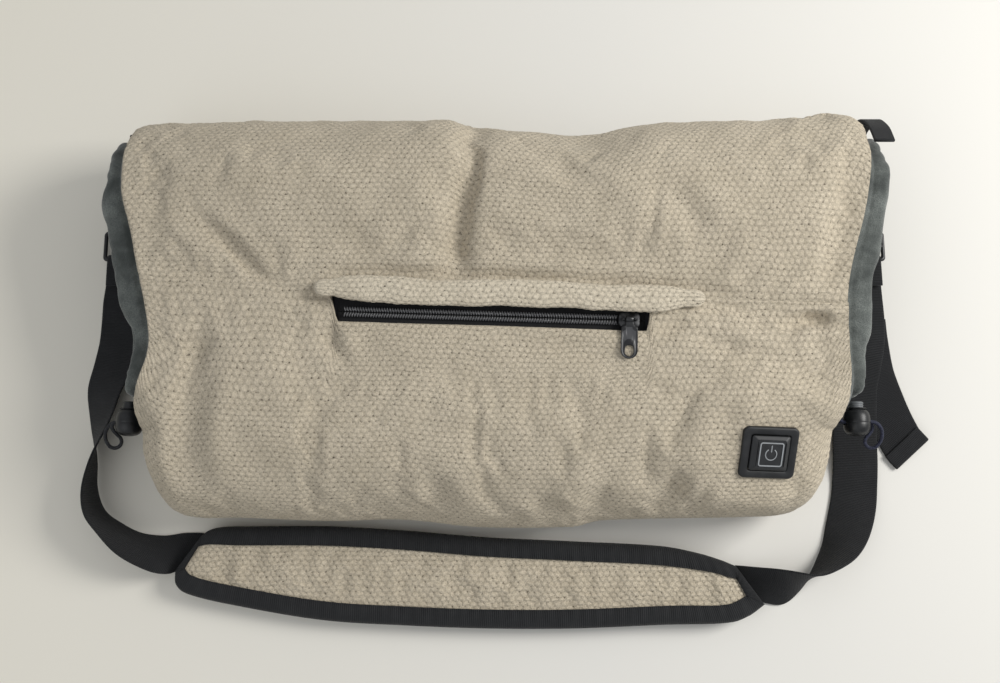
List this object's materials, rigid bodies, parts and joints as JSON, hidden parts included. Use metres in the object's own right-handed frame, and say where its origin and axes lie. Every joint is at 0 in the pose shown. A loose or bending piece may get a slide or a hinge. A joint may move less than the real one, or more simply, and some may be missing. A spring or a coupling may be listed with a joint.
{
  "type": "usb heated hand muff",
  "caption": "Padded fleece hand muff with plush cuffs, a heat button, a zip pocket and a padded webbing shoulder strap.",
  "frame": {"origin": "middle of the flat of the back, which rests on the floor", "axes": "+X along the hand tunnel towards the end with the button, +Y towards the top edge, +Z out of the front"},
  "size_m": [0.4825, 0.2815, 0.0794],
  "materials": {
    "fleece": "deep nubbed fleece",
    "plush": "short grey plush",
    "webbing": "ribbed black webbing",
    "black_plastic": "moulded black",
    "silicone": "satin black silicone",
    "icon": "grey translucent",
    "zip_tape": "woven black tape and coil",
    "zip_metal": "black enamel",
    "wadding": "loose white fibre",
    "foam": "soft grey foam",
    "heating_film": "matt film",
    "circuit": "green laminate",
    "steel": "plain spring steel",
    "lining_cloth": "thin dark lining"
  },
  "bodies": {
    "muff": {"main_panel": "fleece", "lower_front_panel": "fleece", "pocket_welt": "fleece", "left_cuff": "plush", "right_cuff": "plush", "tunnel_lining": "plush", "wadding": "wadding", "front_heating_pad": "heating_film", "back_heating_pad": "heating_film", "left_drawcord": "webbing", "right_drawcord": "webbing", "left_cord_tail": "webbing", "right_cord_tail": "webbing", "left_strap_ring": "black_plastic", "right_strap_adjuster": "black_plastic", "left_strap_tab": "webbing", "right_strap_tab": "webbing", "zip_upper_tape": "zip_tape", "zip_lower_tape": "zip_tape", "zip_upper_coil": "zip_tape", "zip_lower_coil": "zip_tape", "pocket_bag": "lining_cloth", "lead_grommet": "silicone", "button_bezel": "silicone", "controller_case": "black_plastic", "circuit_board": "circuit", "press_switch": "steel", "indicator_light": "icon"},
    "slider": {"zip_slider": "zip_metal"},
    "pull": {"zip_pull": "zip_metal"},
    "key": {"button_key": "silicone", "power_symbol": "icon"},
    "left_lock": {"left_lock_barrel": "black_plastic", "left_lock_spring": "steel"},
    "left_plunger": {"left_lock_plunger": "black_plastic"},
    "right_lock": {"right_lock_barrel": "black_plastic", "right_lock_spring": "steel"},
    "right_plunger": {"right_lock_plunger": "black_plastic"},
    "strap": {"left_webbing": "webbing", "right_webbing": "webbing", "strap_tail": "webbing", "pad_backing": "lining_cloth", "pad_foam": "foam", "pad_face": "fleece", "pad_binding": "webbing"}
  },
  "joints": [
    {"name": "zip_slide", "type": "slide", "parent": "muff", "child": "slider", "axis": [-0.9995, 0.0307, 0.0018], "range_m": [0, 0.14]},
    {"name": "pull_flip", "type": "hinge", "parent": "slider", "child": "pull", "pos_m": [0.06847, -0.00148, 0.07284], "axis": [-0.9995, 0.0307, 0.0018], "range_deg": [0, 125]},
    {"name": "power_press", "type": "slide", "parent": "muff", "child": "key", "axis": [-0.1296, 0.3861, -0.9133], "range_m": [0, 0.001], "stiffness_N_per_m": 1200, "springref_m": -0.0005},
    {"name": "left_lock_slide", "type": "slide", "parent": "muff", "child": "left_lock", "axis": [-1, 0, 0], "range_m": [0, 0.008], "deforming": ["left_cord_tail"]},
    {"name": "left_lock_press", "type": "slide", "parent": "left_lock", "child": "left_plunger", "axis": [0, -1, 0], "range_m": [0, 0.0024], "stiffness_N_per_m": 400, "springref_m": -0.002, "deforming": ["left_lock_spring"]},
    {"name": "right_lock_slide", "type": "slide", "parent": "muff", "child": "right_lock", "axis": [1, 0, 0], "range_m": [0, 0.008], "deforming": ["right_cord_tail"]},
    {"name": "right_lock_press", "type": "slide", "parent": "right_lock", "child": "right_plunger", "axis": [0, -1, 0], "range_m": [0, 0.0024], "stiffness_N_per_m": 400, "springref_m": -0.002, "deforming": ["right_lock_spring"]},
    {"name": "strap_swing", "type": "hinge", "parent": "muff", "child": "strap", "pos_m": [0, 0.048, 0.0029], "axis": [-1, 0, 0], "range_deg": [0, 90], "deforming": ["left_webbing", "right_webbing", "strap_tail"]}
  ]
}
